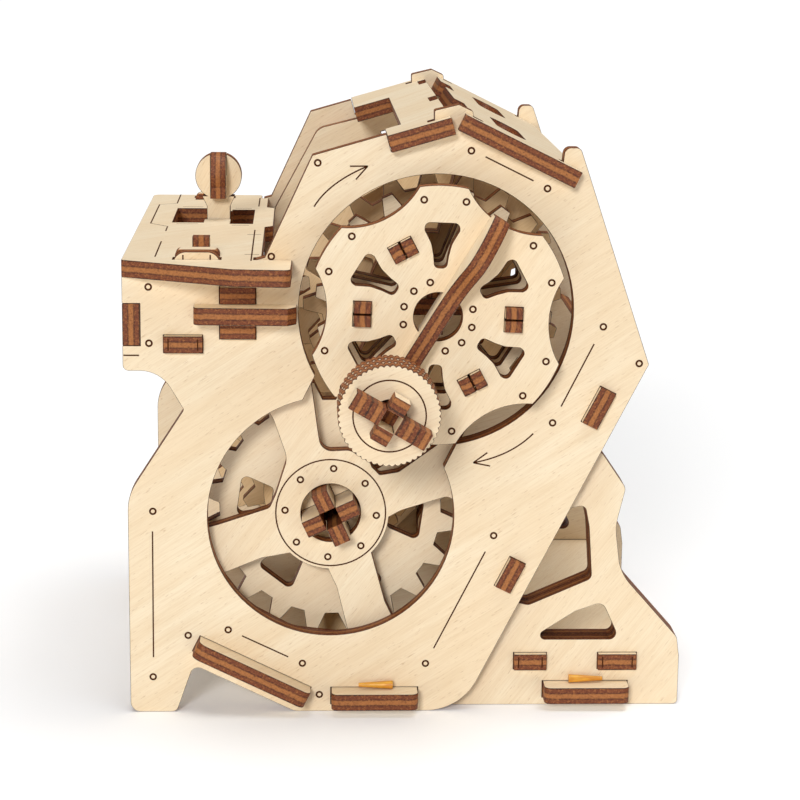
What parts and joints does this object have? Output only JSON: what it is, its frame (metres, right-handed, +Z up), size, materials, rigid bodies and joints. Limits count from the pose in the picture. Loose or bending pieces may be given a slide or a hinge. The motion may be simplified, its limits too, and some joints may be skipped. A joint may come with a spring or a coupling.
{
  "type": "wooden mechanical gearbox puzzle",
  "caption": "Hand-cranked model gearbox cut from plywood: slotted panels, meshing gears on crossed-plate axles, crank wheel with a turning knob, and a gated shift lever.",
  "frame": {"origin": "centre of the bottom of the whole model's bounding box, on the surface that it stands on", "axes": "+Y from the crank wheel at the front to the output wheel at the back, +Z up, +X to the right seen from the crank side"},
  "size_m": [0.098, 0.1166, 0.107],
  "materials": {
    "ply": "laser-cut birch plywood, bare",
    "ply_gear": "laser-cut birch plywood, bare",
    "ply_edge": "scorched laser-cut plywood edge",
    "stick": "bare tapered stick"
  },
  "bodies": {
    "frame": {"front_panel": "ply", "rear_panel": "ply", "front_spoke_plate": "ply", "rear_spoke_plate": "ply", "front_foot_outer": "ply", "front_foot_inner": "ply", "rear_foot_outer": "ply", "rear_foot_inner": "ply", "bottom_plate": "ply", "skid_plate": "ply", "foot_shelf": "ply", "left_end_plate": "ply", "shift_rail": "ply_edge", "brace_upper": "ply", "brace_lower": "ply", "gate_plate": "ply", "gate_arches": "ply", "gate_stops": "ply_edge", "roof_left": "ply", "roof_right": "ply", "front_lock_bar": "ply", "rear_lock_bar": "ply", "front_lock_blocks": "ply_edge", "rear_lock_blocks": "ply_edge", "wedge_pins": "stick", "bearing_plate_front": "ply", "bearing_plate_rear": "ply"},
    "crank_wheel": {"wheel_disc": "ply_gear", "wheel_struts": "ply_edge", "input_gear": "ply_gear", "clutch_ring": "ply_gear", "crank_bar": "ply_gear", "input_axle_level": "ply_gear", "input_axle_erect": "ply_gear", "knob_axle_wide": "ply_gear", "knob_axle_narrow": "ply_gear"},
    "knob": {"knob_disc_front": "ply_gear", "knob_disc_middle": "ply_gear", "knob_disc_rear": "ply_gear"},
    "lay_shaft": {"lay_axle_level": "ply_gear", "lay_axle_erect": "ply_gear", "lay_gear_front": "ply_gear", "lay_gear_first": "ply_gear", "lay_gear_second": "ply_gear", "lay_spacers": "ply_gear"},
    "output_shaft": {"output_axle_level": "ply_gear", "output_axle_erect": "ply_gear", "output_wheel": "ply_gear", "output_washer": "ply_gear"},
    "sliding_gears": {"sliding_gear_large": "ply_gear", "sliding_gear_small": "ply_gear", "sliding_collar": "ply_gear"},
    "shift_carriage": {"shift_fork": "ply", "carriage_cheek": "ply", "carriage_tie": "ply", "lever_pin": "stick"},
    "shift_lever": {"lever_face": "ply", "lever_cross": "ply"}
  },
  "joints": [
    {"name": "wheel_spin", "type": "hinge", "parent": "frame", "child": "crank_wheel", "pos_m": [0.00445, -0.035, 0.07185], "axis": [0, 1, 0], "continuous": true},
    {"name": "lay_spin", "type": "hinge", "parent": "frame", "child": "lay_shaft", "pos_m": [-0.01335, 0.005, 0.0355], "axis": [0, 1, 0], "continuous": true},
    {"name": "output_spin", "type": "hinge", "parent": "frame", "child": "output_shaft", "pos_m": [0.00445, 0.025, 0.07185], "axis": [0, 1, 0], "continuous": true},
    {"name": "knob_spin", "type": "hinge", "parent": "crank_wheel", "child": "knob", "pos_m": [-0.00409, -0.05, 0.05785], "axis": [0, 1, 0], "continuous": true},
    {"name": "shift_slide", "type": "slide", "parent": "frame", "child": "shift_carriage", "axis": [0, 1, 0], "range_m": [0, 0.006]},
    {"name": "gear_slide", "type": "slide", "parent": "output_shaft", "child": "sliding_gears", "axis": [0, 1, 0], "range_m": [0, 0.006]},
    {"name": "lever_tilt", "type": "hinge", "parent": "shift_carriage", "child": "shift_lever", "pos_m": [-0.03435, 0.017, 0.0712], "axis": [0, 1, 0], "range_deg": [-24, 22]}
  ],
  "couplings": [
    {"joint": "lay_spin", "follows": "wheel_spin", "ratio": -0.9},
    {"joint": "output_spin", "follows": "wheel_spin", "ratio": 0.65455},
    {"joint": "gear_slide", "follows": "shift_slide", "ratio": 1}
  ]
}
